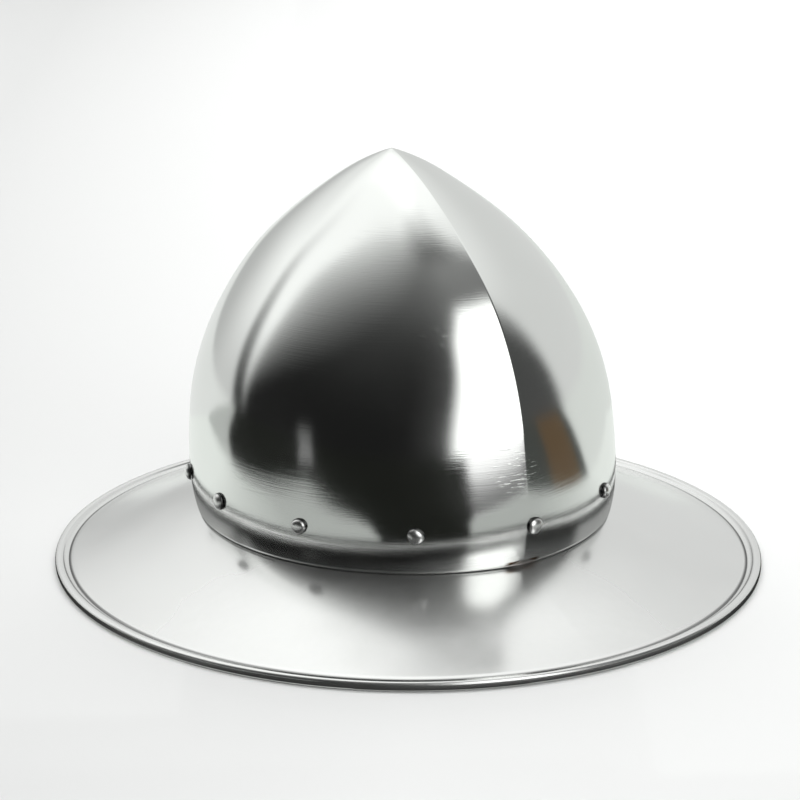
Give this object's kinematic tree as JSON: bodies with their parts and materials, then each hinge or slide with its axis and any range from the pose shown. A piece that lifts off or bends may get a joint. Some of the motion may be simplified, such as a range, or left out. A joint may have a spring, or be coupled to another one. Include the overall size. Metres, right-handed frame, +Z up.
{
  "type": "kettle hat helmet",
  "caption": "Steel kettle hat: a pointed, ridged skull riveted over the collar of a sloping oval brim with a rolled edge.",
  "frame": {"origin": "middle of the brim's rolled edge, on the surface that the hat stands on", "axes": "+Z up through the point of the skull, -Y to the front, so that +Y runs along the ridge to the back"},
  "size_m": [0.3408, 0.3778, 0.205],
  "materials": {
    "polished_steel": "satin-polished sheet with fine brush lines",
    "rivet_steel": "bright steel, lightly hammered"
  },
  "bodies": {
    "root": {"skull": "polished_steel", "brim": "polished_steel", "rivet_01": "rivet_steel", "rivet_02": "rivet_steel", "rivet_03": "rivet_steel", "rivet_04": "rivet_steel", "rivet_05": "rivet_steel", "rivet_06": "rivet_steel", "rivet_07": "rivet_steel", "rivet_08": "rivet_steel", "rivet_09": "rivet_steel", "rivet_10": "rivet_steel", "rivet_11": "rivet_steel", "rivet_12": "rivet_steel"}
  },
  "joints": []
}
